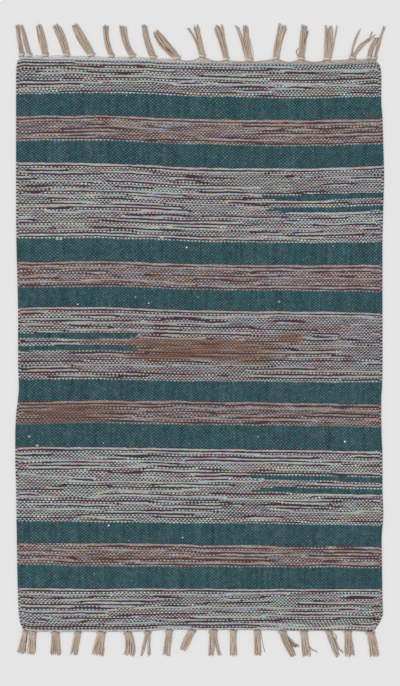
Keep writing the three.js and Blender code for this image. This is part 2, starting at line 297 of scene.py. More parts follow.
# Strands that leave their tassel: its end and number, the strand's radius, its tone from dark to pale, how
# far it rises over what it crosses, and the points that it passes
Loose = namedtuple("Loose", "end number radius tone rise points")
LOOSE_STRANDS = [
    ("top", 12, 1.0, 0.95, 0, ((132, 703), (131.5, 716), (127, 736), (124, 752))),
    ("top", 9, 1.2, 0.0, 4.5, ((-62, 707), (-72, 717), (-83, 726), (-93, 734))),
    ("top", 14, 1.1, 0.3, 0, ((247, 703), (241.5, 714), (239.5, 722), (243, 728), (250, 730), (256, 738))),
    ("top", 14, 1.7, 0.0, 2, ((259, 738), (261, 747), (264.5, 758), (267.5, 771))),
    ("top", 15, 0.8, 0.95, 0, ((327, 706), (331, 719), (333.5, 731), (334.5, 742))),
    (
        "top", 16, 1.6, 0.55, 2,
        ((383, 703), (392, 724), (402, 737), (411, 742), (419, 745), (430, 757), (435, 762)),
    ),
    (
        "top", 16, 1.4, 0.25, 2,
        ((381, 703), (389, 723), (399, 738), (410, 745), (417, 748), (424, 757), (428, 768)),
    ),
    ("top", 17, 1.3, 0.1, 0, ((424, 703), (429, 718), (434, 733), (440, 744), (445, 755))),
    ("bottom", 1, 1.3, 1.0, 0, ((-430, -731), (-430, -745), (-430.5, -758), (-434, -772), (-435, -781))),
    ("bottom", 1, 1.0, 0.0, 0, ((-434, -731), (-434.5, -745), (-435.5, -756), (-438, -768), (-439, -780))),
    ("bottom", 12, 0.6, 0.1, 0, ((151, -731), (153, -745), (155.5, -760), (160, -778))),
    ("bottom", 13, 1.5, 0.0, 2, ((207, -733), (216, -743), (227, -754), (236, -763), (244, -765))),
    ("bottom", 13, 1.5, 0.1, 2, ((203, -735), (213, -746), (223, -757), (231, -766), (238, -768))),
    ("bottom", 14, 1.0, 0.3, 0, ((270, -764), (276, -772), (282, -777), (289, -779))),
    ("bottom", 15, 0.9, 0.3, 2, ((324, -732), (331, -735), (338, -741), (339, -749), (334, -754))),
    ("bottom", 15, 1.0, 0.0, 2, ((325, -735), (332, -745), (339, -757), (346, -773), (355, -781))),
    ("bottom", 17, 1.1, 0.0, 2, ((423, -738), (430, -749), (435, -761), (439, -776))),
]

# A knot's turns of yarn from the weft outwards: where each lies along the knot and its radius.
Turn = namedtuple("Turn", "along radius")
KNOT_TURNS = [Turn(-0.46, 1.3), Turn(-0.2, 1.8), Turn(0.13, 1.9), Turn(0.42, 1.5)]
# Tones of the four turns. At the top, the first turn is painted dark as shade in the groove where the knot
# meets the bare warp. The others are paler yarn with painted highlight on the knot's raised top. The bottom
# knots' tones are plain.
TOP_KNOT_TONES_AND_PAINTED_LIGHT = (-0.1, 0.75, 0.9, 0.75)
BOTTOM_KNOT_TONES = (0.6, 0.6, 0.55, 0.5)


def tassels_of(rows):
    return [Tassel(*row) for row in rows]


# The two ends. edge_share is how far out the edge thread lies and tan_from the x from which it is tan.
End = namedtuple("End", "name fell tassels out header_threads edge_share tan_from knot_tones seed")
ENDS = [
    End("top", TOP_FELL, tassels_of(TOP_TASSELS), 1, 4, 0.95, -60, TOP_KNOT_TONES_AND_PAINTED_LIGHT, 100),
    End("bottom", BOTTOM_FELL, tassels_of(BOTTOM_TASSELS), -1, 1, 1.45, -500, BOTTOM_KNOT_TONES, 200),
]

# Colours as sRGB from 0 to 255
COOL_PALES = [
    (160, 189, 181), (176, 190, 198), (167, 159, 180), (182, 158, 157), (190, 184, 168),
    (177, 189, 172), (160, 189, 181),
]
WARM_PALES = [
    (150, 158, 172), (170, 172, 174), (150, 134, 136), (174, 144, 128), (172, 160, 144),
    (144, 130, 118), (150, 158, 172),
]
DARKS = [(92, 44, 60), (52, 46, 60), (98, 50, 56), (50, 64, 70), (60, 52, 60), (92, 44, 60)]
TEALS = [(46, 82, 88), (56, 81, 90), (48, 86, 88), (66, 88, 94)]
COTTONS = [(134, 112, 96), (166, 144, 126), (192, 172, 154), (210, 194, 180), (228, 217, 207)]
HEADER_COTTONS = [(178, 155, 137), (198, 187, 180), (221, 216, 214), (236, 234, 234)]
BROWN_WOOL = (140, 102, 78)
FLOOR_COLOUR = (233, 233, 234)


def linear(colour):
    """An sRGB colour from 0 to 255 as the linear colour that a shader takes."""
    shares = [c / 255 for c in colour]
    return (*(s / 12.92 if s <= 0.04045 else ((s + 0.055) / 1.055) ** 2.4 for s in shares), 1.0)


def band_rows():
    """Each band's yarn with its first row of weft and the first row past it."""
    rows, first = [], 0
    for yarn, picks, _ in BANDS:
        rows.append((yarn, first, first + picks))
        first += picks
    return rows


BAND_ROWS = band_rows()
PICKS = BAND_ROWS[-1][2]

# Rows near the two ends whose look is held: the row, its first and last warp there, which strand is turned
# upwards, 1 for the pale one, -1 for the dark one and 0 for either, and how much more of the pale one shows.
# TURN_PULL is how hard a strand is turned, and ROW_FADE how many warps the change takes to either side.
END_ROWS = [
    (0, -10, 30, -1, -0.3),
    (0, 30, 210, 0, 0.6),
    (1, -10, 30, 0, 0.25),
    (1, 30, 210, -1, -0.05),
    (2, -10, 30, -1, -0.3),
    (2, 30, 150, 1, 0.0),
    (2, 150, 210, -1, -0.15),
    (PICKS - 2, -10, 130, -1, 0.0),
    (PICKS - 1, -10, 73, -1, -0.25),
    (PICKS - 1, 73, 92, 0, 0.5),
    (PICKS - 1, 92, 130, -1, -0.3),
    (PICKS - 1, 130, 210, 0, 0.5),
    (PICKS, -10, 146, 0, 0.6),
    (PICKS, 146, 210, -1, -0.3),
]
TURN_PULL = 0.7
ROW_FADE = 2


# Lines and random fields


def soft_curve(points, x):
    """The height at x of a soft line through the points, which doesn't swing past them."""
    places, heights = (np.array(column, float) for column in zip(*sorted(points)))
    rates = np.diff(heights) / np.diff(places)
    before, after = rates[:-1], rates[1:]
    bends = before * after > 0
    inner = np.zeros_like(before)
    inner[bends] = 2 * before[bends] * after[bends] / (before[bends] + after[bends])
    slopes = np.concatenate([rates[:1], inner, rates[-1:]])
    k = np.clip(np.searchsorted(places, x) - 1, 0, len(places) - 2)
    span = places[k + 1] - places[k]
    t = np.clip((x - places[k]) / span, 0, 1)
    ease = t * t * (3 - 2 * t)
    bulge = slopes[k] * t * (1 - t) ** 2 - slopes[k + 1] * t * t * (1 - t)
    return heights[k] * (1 - ease) + heights[k + 1] * ease + span * bulge


def eased(low, high, value):
    """0 below low, 1 above high, and a soft step between."""
    t = np.clip((value - low) / (high - low), 0, 1)
    return t * t * (3 - 2 * t)


def columns(*values):
    """Coordinates side by side. Each is an array, or one number for all the points."""
    return np.stack(np.broadcast_arrays(*values), -1)


def hills(shape, cells, seed):
    """A smooth random field from -1 to 1 with that many hills down and across."""
    field = np.random.default_rng(seed).uniform(-1, 1, (cells[0] + 1, cells[1] + 1))
    for axis in (0, 1):
        place = np.linspace(0, cells[axis], shape[axis])
        low = np.minimum(place.astype(int), cells[axis] - 1)
        part = eased(0, 1, place - low)
        if axis == 0:
            part = part[:, None]
        field = np.take(field, low, axis) * (1 - part) + np.take(field, low + 1, axis) * part
    return field


# Nodes


class Wire:
    """A node's output. Sums and comparisons on it add Math nodes to its board."""

    def __init__(self, board, socket):
        self.board = board
        self.socket = socket

    def other(self, output):
        """Another output of the same node."""
        return Wire(self.board, self.socket.node.outputs[output])

    def maths(self, operation, *values):
        sockets = dict(enumerate((self, *values)))
        return self.board.node("ShaderNodeMath", sockets, operation=operation)

    def after(self, operation, value):
        """The operation with value before this wire."""
        return self.board.node("ShaderNodeMath", {0: value, 1: self}, operation=operation)

    def __add__(self, value):
        return self.maths("ADD", value)

    def __radd__(self, value):
        return self.after("ADD", value)

    def __sub__(self, value):
        return self.maths("SUBTRACT", value)

    def __rsub__(self, value):
        return self.after("SUBTRACT", value)

    def __mul__(self, value):
        return self.maths("MULTIPLY", value)

    def __rmul__(self, value):
        return self.after("MULTIPLY", value)

    def __truediv__(self, value):
        return self.maths("DIVIDE", value)

    def __pow__(self, value):
        return self.maths("POWER", value)

    def __gt__(self, value):
        return self.maths("GREATER_THAN", value)

    def __lt__(self, value):
        return self.maths("LESS_THAN", value)


class Board:
    """A node tree with one way to add any node to it."""

    def __init__(self, tree):
        self.tree = tree

    def node(self, kind, sockets=None, output=0, **settings):
        """Adds a node: its settings first, then a value or a wire for each socket named."""
        made = self.tree.nodes.new(kind)
        for name, value in settings.items():
            if name == "stops":
                self.set_stops(made.color_ramp.elements, value)
            else:
                setattr(made, name, value)
        for key, value in (sockets or {}).items():
            if isinstance(value, Wire):
                self.tree.links.new(value.socket, made.inputs[key])
            else:
                made.inputs[key].default_value = value
        return Wire(self, made.outputs[output]) if len(made.outputs) else None

    @staticmethod
    def set_stops(elements, stops):
        while len(elements) < len(stops):
            elements.new(1.0)
        for element, (place, colour) in zip(elements, stops):
            element.position = place
            element.color = colour

    def vector(self, x, y, z):
        return self.node("ShaderNodeCombineXYZ", {0: x, 1: y, 2: z})

    def split(self, vector):
        x = self.node("ShaderNodeSeparateXYZ", {0: vector})
        return x, x.other(1), x.other(2)

    def noise(self, place, scale, detail=1.0, output=0):
        sockets = {"Vector": place, "Scale": scale, "Detail": detail}
        return self.node("ShaderNodeTexNoise", sockets, output)

    def drift(self, x, y, seed, detail=1.0):
        """A soft random number from 0 to 1, which changes over about 1 of x or of y."""
        return self.noise(self.vector(x, y, seed), 1.0, detail)

    def carried(self, name):
        """The number that the mesh carries under that name."""
        return self.node("ShaderNodeAttribute", {}, 2, attribute_name=name)

    def chance(self, x, y, seed):
        """A random colour for each whole x and y."""
        return self.node("ShaderNodeTexWhiteNoise", {"Vector": self.vector(x, y, seed)}, 1)

    def mix(self, share, first, second, blend="MIX"):
        """The first colour where share is 0 and the second, or their blend, where it is 1."""
        sockets = {0: share, 6: first, 7: second}
        return self.node("ShaderNodeMix", sockets, 2, data_type="RGBA", blend_type=blend)

    def shaded(self, colour, light):
        """The colour made brighter or darker by a number."""
        return self.mix(1.0, colour, light, "MULTIPLY")

    def step(self, value, low, high):
        """0 below low, 1 above high, and a soft step between."""
        sockets = {0: value, 1: low, 2: high}
        return self.node("ShaderNodeMapRange", sockets, interpolation_type="SMOOTHSTEP")

    def colours(self, choice, colours):
        """One of the colours or a blend of two neighbours, as choice goes from 0 to 1."""
        last = len(colours) - 1
        stops = [(i / last, linear(colour)) for i, colour in enumerate(colours)]
        return self.node("ShaderNodeValToRGB", {0: choice}, stops=stops)


def new_finish(name):
    material = bpy.data.materials.new(name)
    material.use_nodes = True
    material.node_tree.nodes.clear()
    return material, Board(material.node_tree)


def dress(board, colour, roughness, height, relief, sheen):
    """Ends a fabric's nodes: colour and roughness, a relief in millimetres, and the sheen of its fibres."""
    bump = board.node("ShaderNodeBump", {"Height": height, "Distance": relief * MM})
    sockets = {
        "Base Color": colour,
        "Roughness": roughness,
        "Normal": bump,
        "Sheen Weight": sheen,
        "Specular IOR Level": 0.2,
    }
    shader = board.node("ShaderNodeBsdfPrincipled", sockets)
    board.node("ShaderNodeOutputMaterial", {"Surface": shader})


# Finishes


# Where a point lies in the weave: u across and v down it, the warp and the pick that its float lies on, how
# far it is from the float's middle, how high on the float, and random numbers of its row and of its float
Place = namedtuple("Place", "down u v warp pick du dv crown row_a row_b float_a float_b")


def in_rows(pick, first, past=None):
    """1 on the rows from first up to past, or on the one row."""
    past = first + 1 if past is None else past
    return (pick > first - 0.5) * (pick < past - 0.5)


def rows_of(pick, yarn):
    """1 on the rows of the bands woven of one yarn."""
    return sum(in_rows(pick, first, past) for found, first, past in BAND_ROWS if found == yarn)


def in_band(pick, number):
    """1 on the rows of one band."""
    return in_rows(pick, *BAND_ROWS[number][1:])


def rows_beside_teal(above, below):
    """Rows of marled yarn, counted from each teal band's first row and from the first row past it."""
    bands = [(first, past) for yarn, first, past in BAND_ROWS if yarn == "teal"]
    places = [first + step for first, _ in bands for step in above]
    return places + [past + step for _, past in bands for step in below]


def wedge_mask(warp, pick, lattice_x):
    """1 on the rows of teal that run in from a selvedge."""
    mask = 0
    for band, start, side, tips in WEDGES:
        for row, tip in enumerate(tips, BAND_ROWS[band][1] + start):
            place = float(np.interp(tip, lattice_x[row], np.arange(WARPS + 1)))
            inside = warp > place if side == "right" else warp < place
            mask = mask + inside * in_rows(pick, row)
    return mask


def weave_place(board):
    """Finds the float that a point lies on. Floats lie like squares of a board turned by 45 degrees."""
    across, down, _ = board.split(board.node("ShaderNodeUVMap", uv_map="weave"))
    sway_x, sway_y, _ = board.split(board.noise(board.vector(across, down, 0.0), SWAY_SCALE, 1.0, 1))
    looseness = MARL_SWAY + rows_of(down, "teal") * TEAL_MORE_SWAY
    u = across + (sway_x - 0.5) * looseness
    v = down + (sway_y - 0.5) * looseness
    rising = (u + v) / 2
    falling = (u - v) / 2
    rising_cell = rising.maths("ROUND")
    falling_cell = falling.maths("ROUND")
    warp = rising_cell + falling_cell
    pick = rising_cell - falling_cell
    crown_a = ((rising - rising_cell) * math.pi).maths("COSINE")
    crown_b = ((falling - falling_cell) * math.pi).maths("COSINE")
    row_a, row_b, _ = board.split(board.chance(pick, 0.0, 1.5))
    float_a, float_b, _ = board.split(board.chance(warp, pick, 7.5))
    chances = (row_a, row_b, float_a, float_b)
    return Place(down, u, v, warp, pick, u - warp, v - pick, crown_a * crown_b, *chances)


def pale_share(board, at, warm):
    """1 where a row's pale strand shows, and 0 where its dark one does.

    The two strands lie side by side and turn over now and then. side is 1 where the pale one lies above and
    -1 where it lies below. As they turn, one hides the other for a few floats.
    """
    u, pick = at.u, at.pick
    shared = board.drift(u / 70, pick / 6, 3.3)
    own = board.drift(u / 75, pick * 5.13, 9.1, 2.5)
    lean = (shared - 0.5) * 0.9 + (own - 0.5) * 1.7 + 0.03
    pale_below = sum(in_rows(pick, row) for row in rows_beside_teal((-1,), (0, 2)))
    pale_above = sum(in_rows(pick, row) for row in rows_beside_teal((), (1,)))
    lean = lean * (1 - pale_below - pale_above) + (pale_above - pale_below) * (0.12 + (own - 0.5) * 0.6)
    held = 0
    for row, start, stop, turn, more in END_ROWS:
        begun = board.step(u, start - ROW_FADE, start + ROW_FADE)
        ended = board.step(u, stop - ROW_FADE, stop + ROW_FADE)
        there = in_rows(pick, row) * (begun - ended)
        lean = lean + there * (turn * TURN_PULL)
        held = held + there * more
    side = board.step(lean, -SOFT_TURN, SOFT_TURN) * 2 - 1
    hiding = (1 - side * side) * ((at.row_a > 0.5) * 2 - 1)
    fullness = board.drift(u / 13, pick * 3.37, 4.2)
    split = hiding * 0.14 - at.dv * side * (1 - warm * 0.25) + (fullness - 0.49) * (0.85 + warm * 0.2)
    split = split + (at.float_a - 0.5) * 0.1 + held
    turning = ((at.v + at.row_b * 0.4) * math.pi).maths("SINE") + (at.float_b - 0.5) * 0.8
    selvedge = (u < SELVEDGE_WARPS) + (u > WARPS - SELVEDGE_WARPS)
    return board.step(split + selvedge * (turning * 0.5 - split), -SOFT_SPLIT, SOFT_SPLIT)


def yarn_colour(board, at, warm, teal, brown):
    """The colour of the yarn before light and shade: marled, plain teal, or a fleck."""
    warp, pick = at.warp, at.pick
    shared_hue = board.drift(warp / 28, pick / 5, 1.3)
    own_hue = board.drift(warp / 16, pick * 2.71, 8.3)
    hue = shared_hue * 2.2 + own_hue * 1.6
    mint = in_rows(pick, 0, 2) + in_rows(pick, PICKS)
    pale_hue = hue + at.row_b * 0.3 + at.dv * 0.2 + (at.float_b - 0.5) * 0.6
    pale_choice = pale_hue.maths("FRACT") * (1 - mint * 0.7)
    dark_choice = (hue + at.row_a * 0.4 + at.dv * 0.5 + (at.float_a - 0.5) * 0.5).maths("FRACT")
    cool_pale = board.colours(pale_choice, COOL_PALES)
    warm_pale = board.colours(pale_choice, WARM_PALES)
    dark = board.colours(dark_choice, DARKS)
    warmth = warm + in_band(pick, WARMER_BAND) * 0.35
    pale_yarn = board.mix(brown, board.mix(warmth, cool_pale, warm_pale), linear(BROWN_WOOL))
    dark_yarn = board.mix(brown * 0.3 + warm * 0.1, dark, linear(BROWN_WOOL))
    marled = board.mix(pale_share(board, at, warm), dark_yarn, pale_yarn)
    teal_patches = board.drift(warp / 9, pick / 7, 2.2)
    plain_teal = board.colours((teal_patches - 0.5) * 2 + at.float_b, TEALS)
    yarn = board.mix(teal, marled, plain_teal)
    for fleck in FLECKS:
        there = board.step(board.carried(fleck.name + "_fleck"), 0.2, 0.55)
        yarn = board.mix(there, yarn, linear(fleck.colour))
    return yarn


def weave_tone_and_painted_shade(board, at, teal, brown):
    """How light or dark a point is: painted light on float crowns and painted shade in the hollows between
    floats. This is mild in marled rows, which also differ from row to row, and deep in teal, where it differs
    from patch to patch.
    """
    # Painted light on the float's crown and painted shade in the hollows round it
    painted_crown_light = board.step(at.crown, 0.0, 0.4)
    row_light = board.drift(at.u / 110, at.pick * 7.7, 2.9)
    duller = in_band(at.pick, DULLER_BAND)
    marled_light = (0.66 + painted_crown_light * 0.42) * (0.78 + row_light * 0.46) * (1 - duller * 0.12 - brown * 0.1)
    # In teal the painted shade in the hollows is deep; its depth changes from patch to patch and weakens
    # towards the bottom
    patchy = board.drift(at.u / 17, at.v / 9, 5.5, 2.0)
    painted_hollow_depth = (0.45 + patchy * 0.7) * (1 - at.down / PICKS * 0.3)
    columns = board.drift(at.warp * 3.1, at.v / 40, 6.4)
    teal_light = 1 + painted_hollow_depth * (at.crown * at.crown * 2.2 - 0.58) + (at.float_a - 0.5) * 0.4 + (columns - 0.5)
    return marled_light + teal * (teal_light - marled_light)


def weave_finish(lattice_x):
    """Weft-faced wool: rows of marled pale and dark yarn, and rows of plain teal, with painted light on the
    floats' crowns and painted shade in the hollows between them.
    """
    material, board = new_finish("weft-faced wool")
    at = weave_place(board)
    warm = rows_of(at.pick, "warm")
    teal = rows_of(at.pick, "teal") + wedge_mask(at.warp, at.pick, lattice_x)
    brown = board.carried("brown")
    yarn = yarn_colour(board, at, warm, teal, brown)
    fibres = board.drift(at.u * 7 + at.dv * 5, at.v * 21, 0.0, 2.0)
    # The yarn's colour times painted light on the crowns and painted shade in the hollows between floats
    colour = board.shaded(yarn, weave_tone_and_painted_shade(board, at, teal, brown) * (0.8 + fibres * 0.4))
    ply = ((at.du * 2.1 + at.dv * 3.4 + at.row_b * 5) * math.pi).maths("SINE")
    height = at.crown ** 0.6 + ply * 0.08 + fibres * 0.16
    dress(board, colour, 0.78 + fibres * 0.25, height, 0.9, 0.12)
    return material


def cotton_finish(name, colours):
    """Plied cotton whose shade differs from yarn to yarn and drifts along each one."""
    material, board = new_finish(name)
    tone = board.carried("tone")
    along = board.carried("along")
    place = board.node("ShaderNodeTexCoord", {}, 3)
    fade = board.drift(along * 60, tone * 71, 0.0)
    mottle = board.noise(place, 260.0)
    fibres = board.noise(place, 1400.0, 2.0)
    choice = tone + (fade - 0.5) * 0.35 + (mottle - 0.5) * 0.25
    light = 0.84 + fibres * 0.32
    colour = board.shaded(board.colours(choice, colours), light)
    dress(board, colour, 0.82 + fibres * 0.15, fibres, 0.25, 0.1)
    return material


def floor_finish():
    material, board = new_finish("pale matt floor")
    place = board.node("ShaderNodeTexCoord", {}, 3)
    speckle = board.noise(place, 90.0, 3.0)
    colour = board.shaded(linear(FLOOR_COLOUR), 0.985 + speckle * 0.03)
    dress(board, colour, 0.8 + speckle * 0.1, speckle, 0.02, 0.0)
    return material


# Geometry trees


def new_tree(name, sockets):
    """A geometry tree with the named inputs. Returns it with its board and a wire for each input."""
    tree = bpy.data.node_groups.new(name, "GeometryNodeTree")
    tree.interface.new_socket("Geometry", in_out="OUTPUT", socket_type="NodeSocketGeometry")
    for label, kind in sockets.items():
        tree.interface.new_socket(label, in_out="INPUT", socket_type="NodeSocket" + kind)
    board = Board(tree)
    start = board.node("NodeGroupInput")
    return tree, board, {label: start.other(label) for label in sockets}


def finish_tree(board, geometry, finish):
    """Ends a tree: instances are made real and the finish is put on."""
    real = board.node("GeometryNodeRealizeInstances", {"Geometry": geometry})
    dressed = board.node("GeometryNodeSetMaterial", {"Geometry": real, "Material": finish})
    board.node("NodeGroupOutput", {"Geometry": dressed})


def named_number(board, name):
    """The number that each point carries under that name."""
    return board.node("GeometryNodeInputNamedAttribute", {"Name": name}, data_type="FLOAT")


def float_relief_tree():
    """Raises the floats of a flat weave and sinks the crossings between them, by uneven amounts."""
    sockets = {
        "Weave": "Geometry",
        "Float Height": "Float",
        "Unevenness": "Float",
        "Seed": "Float",
        "Finish": "Material",
    }
    tree, board, given = new_tree("float relief", sockets)
    place = board.node("GeometryNodeInputPosition")
    values = {"Vector": place, "W": given["Seed"], "Scale": RELIEF_SCALE, "Detail": 1.0}
    uneven = board.node("ShaderNodeTexNoise", values, noise_dimensions="4D")
    swell = 1 + (uneven - 0.5) * 2 * given["Unevenness"]
    rise = named_number(board, "lift") * given["Float Height"] * swell
    offset = board.vector(0.0, 0.0, rise)
    raised = board.node("GeometryNodeSetPosition", {"Geometry": given["Weave"], "Offset": offset})
    finish_tree(board, raised, given["Finish"])
    return tree


def plied_yarn_tree():
    """Makes yarn of lines: a waisted tube that twists along each line, closed at both ends."""
    sockets = {
        "Lines": "Geometry",
        "Ring Spacing": "Float",
        "Twist Pitch": "Float",
        "Waist": "Float",
        "Sides": "Int",
        "Finish": "Material",
    }
    tree, board, given = new_tree("plied yarn", sockets)
    lines = board.node("GeometryNodeMeshToCurve", {"Mesh": given["Lines"]})
    values = {"Curve": lines, "Length": given["Ring Spacing"]}
    even = board.node("GeometryNodeResampleCurve", values, mode="LENGTH")
    length = board.node("GeometryNodeSplineParameter", {}, 1)
    turns = length / given["Twist Pitch"] + named_number(board, "tone") * 7
    tilted = board.node("GeometryNodeSetCurveTilt", {"Curve": even, "Tilt": turns * math.tau})
    values = {"Geometry": tilted, "Name": "along", "Value": length}
    kind = "GeometryNodeStoreNamedAttribute"
    measured = board.node(kind, values, data_type="FLOAT", domain="POINT")
    values = {"Resolution": given["Sides"], "Radius": 1.0}
    ring = board.node("GeometryNodeCurvePrimitiveCircle", values)
    place = board.node("GeometryNodeInputPosition")
    squeeze = board.vector(1.0, given["Waist"], 1.0)
    waisted = board.node("ShaderNodeVectorMath", {0: place, 1: squeeze}, operation="MULTIPLY")
    section = board.node("GeometryNodeSetPosition", {"Geometry": ring, "Position": waisted})
    values = {
        "Curve": measured,
        "Profile Curve": section,
        "Scale": named_number(board, "thickness"),
        "Fill Caps": True,
    }
    tube = board.node("GeometryNodeCurveToMesh", values)
    smooth = board.node("GeometryNodeSetShadeSmooth", {"Geometry": tube})
    finish_tree(board, smooth, given["Finish"])
    return tree


def grow(piece, tree, values):
    """Runs a geometry tree on a piece and keeps the result as a plain mesh."""
    modifier = piece.modifiers.new("making", "NODES")
    modifier.node_group = tree
    names = {item.name: item.identifier for item in tree.interface.items_tree if item.in_out == "INPUT"}
    for name, value in values.items():
        modifier[names[name]] = value
    depsgraph = bpy.context.evaluated_depsgraph_get()
    evaluated = piece.evaluated_get(depsgraph)
    made = bpy.data.meshes.new_from_object(evaluated, preserve_all_data_layers=True, depsgraph=depsgraph)
    piece.modifiers.clear()
    piece.data = made


def add_piece(name, points, edges, faces):
    """A new mesh object from points in millimetres."""
    mesh = bpy.data.meshes.new(name)
    mesh.from_pydata((np.asarray(points, float) * MM).tolist(), edges, faces)
    piece = bpy.data.objects.new(name, mesh)
    bpy.context.scene.collection.objects.link(piece)
    return piece


def store_numbers(mesh, name, numbers):
    mesh.attributes.new(name, "FLOAT", "POINT").data.foreach_set("value", np.asarray(numbers, np.float32))


# The woven cloth


def weave_lattice():
    """x and y of each crossing of warp and weft on the flat cloth, as arrays of rows by warps."""
    warp, pick = np.meshgrid(np.arange(WARPS + 1), np.arange(PICKS + 1))
    share = warp / WARPS
    share = share + TIGHTER_TO_THE_RIGHT * share * (1 - share)
    corners = TOP_FELL[0], TOP_FELL[-1], BOTTOM_FELL[0], BOTTOM_FELL[-1]
    left = [(y, x) for y, x, _ in SELVEDGES] + [(y, x) for x, y in corners[::2]]
    right = [(y, x) for y, _, x in SELVEDGES] + [(y, x) for x, y in corners[1::2]]
    starts = np.array([0, *(first - 0.5 for _, first, _ in BAND_ROWS[1:]), PICKS])
    band = np.clip(np.searchsorted(starts, pick, side="right") - 1, 0, len(BANDS) - 1)
    part = (pick - starts[band]) / (starts[band + 1] - starts[band])
    y = np.interp(pick, [0, PICKS], [corners[0][1], corners[2][1]])
    for _ in range(3):
        left_x = soft_curve(left, y) + EDGE_INSET
        right_x = soft_curve(right, y) - EDGE_INSET
        x = left_x + share * (right_x - left_x)
        lines = [soft_curve(TOP_FELL, x)]
        lines += [soft_curve(list(zip(STATIONS, edge)), x) for *_, edge in BANDS[:-1]]
        lines += [soft_curve(BOTTOM_FELL, x)]
        lines = np.array(lines)
        above = np.take_along_axis(lines, band[None], 0)[0]
        below = np.take_along_axis(lines, band[None] + 1, 0)[0]
        y = above + part * (below - above)
    return x, y, warp, pick


def wandering(x, y, warp, pick):
    """The lattice with the small wander of hand weaving, which dies out at the edges."""
    off_sides = np.minimum(1, np.minimum(warp, WARPS - warp) / 3)
    off_ends = np.minimum(1, np.minimum(pick, PICKS - pick) / 4)
    inside = off_sides * off_ends
    jitter = np.random.default_rng(JITTER_SEED).normal(size=PICKS + 1)[:, None]
    rows = ROW_WANDER * hills(x.shape, ROW_HILLS, ROW_SEED) + ROW_JITTER * jitter
    warps = WARP_WANDER * hills(x.shape, WARP_HILLS, WARP_SEED)
    return x + inside * warps, y + inside * rows


def rim_places():
    """The lattice places round the cloth's edge, clockwise from the top left corner."""
    top = [(i, 0) for i in range(WARPS)]
    right = [(WARPS, j) for j in range(PICKS)]
    bottom = [(i, PICKS) for i in range(WARPS, 0, -1)]
    left = [(0, j) for j in range(PICKS, 0, -1)]
    return top + right + bottom + left


def top_triangles():
    """The upper face as triangles whose diagonals run along the hollows, so each float is a little hip."""
    width = WARPS + 1
    i, j = (grid.ravel() for grid in np.meshgrid(np.arange(WARPS), np.arange(PICKS)))
    here, right = j * width + i, j * width + i + 1
    below, across = here + width, right + width
    even = (i + j) % 2 == 0
    first = np.where(even, right, across)
    second = np.where(even, below, here)
    return np.concatenate([columns(here, below, first), columns(second, across, right)]).tolist()


def underside_faces(number_of):
    """The flat underside in large faces, which take in every point of the rim they touch."""
    faces = []
    for j in range(0, PICKS, UNDERSIDE_STEP):
        for i in range(0, WARPS, UNDERSIDE_STEP):
            i2, j2 = i + UNDERSIDE_STEP, j + UNDERSIDE_STEP
            upper = [(k, j) for k in range(i, i2)]
            far = [(i2, k) for k in range(j, j2)]
            lower = [(k, j2) for k in range(i2, i, -1)]
            near = [(i, k) for k in range(j2, j, -1)]
            faces.append([number_of[place] for place in upper + far + lower + near if place in number_of])
    return faces


def brown_share(x, y):
    """How much brown wool shows at each crossing: streaks along the rows, which fade out at their ends."""
    coarse = hills(x.shape, (PICKS, STREAKS), STREAK_SEED)
    fine = hills(x.shape, (PICKS, FINE_STREAKS), FINE_STREAK_SEED)
    streaks = 0.6 * coarse + 0.4 * fine
    share = np.zeros_like(x)
    for x_from, x_to, y_from, y_to, most in BROWN_PLACES:
        along = np.sin(math.pi * np.clip((x - x_from) / (x_to - x_from), 0, 1)) ** 0.8
        below_top = 1 - eased(y_from - BROWN_FADE, y_from + BROWN_FADE, y)
        down = eased(y_to - BROWN_FADE, y_to + BROWN_FADE, y) * below_top
        share = np.maximum(share, most * eased(0.0, 1.0, along * down * (1.1 + 0.9 * streaks)))
    return share


def fleck_places(x, y):
    """For each fleck colour, how much of it shows at each crossing."""
    rng = np.random.default_rng(FLECK_SEED)
    shares = {fleck.name: np.zeros_like(x) for fleck in FLECKS}
    for fleck in FLECKS:
        for fleck_x, fleck_y in fleck.places:
            nearest = np.hypot(x - fleck_x, y - fleck_y).argmin()
            shares[fleck.name].flat[nearest] = 1
    for _ in range(SMALL_FLECKS):
        strength = rng.uniform(0.4, 0.6)
        name = FLECKS[rng.integers(len(FLECKS))].name
        shares[name].flat[rng.integers(x.size)] = strength
    return shares


def map_weave(mesh, outer, beneath, outer_count):
    """Gives each corner its place in the weave, in warps and rows, and smooths all but the underside."""
    corner = np.empty(len(mesh.loops), int)
    mesh.loops.foreach_get("vertex_index", corner)
    first_under = mesh.polygons[outer_count].loop_start
    weave = np.concatenate([outer[corner[:first_under]], beneath[corner[first_under:]]])
    mesh.uv_layers.new(name="weave").data.foreach_set("uv", weave.astype(np.float32).ravel())
    smooth = [True] * outer_count + [False] * (len(mesh.polygons) - outer_count)
    mesh.polygons.foreach_set("use_smooth", smooth)


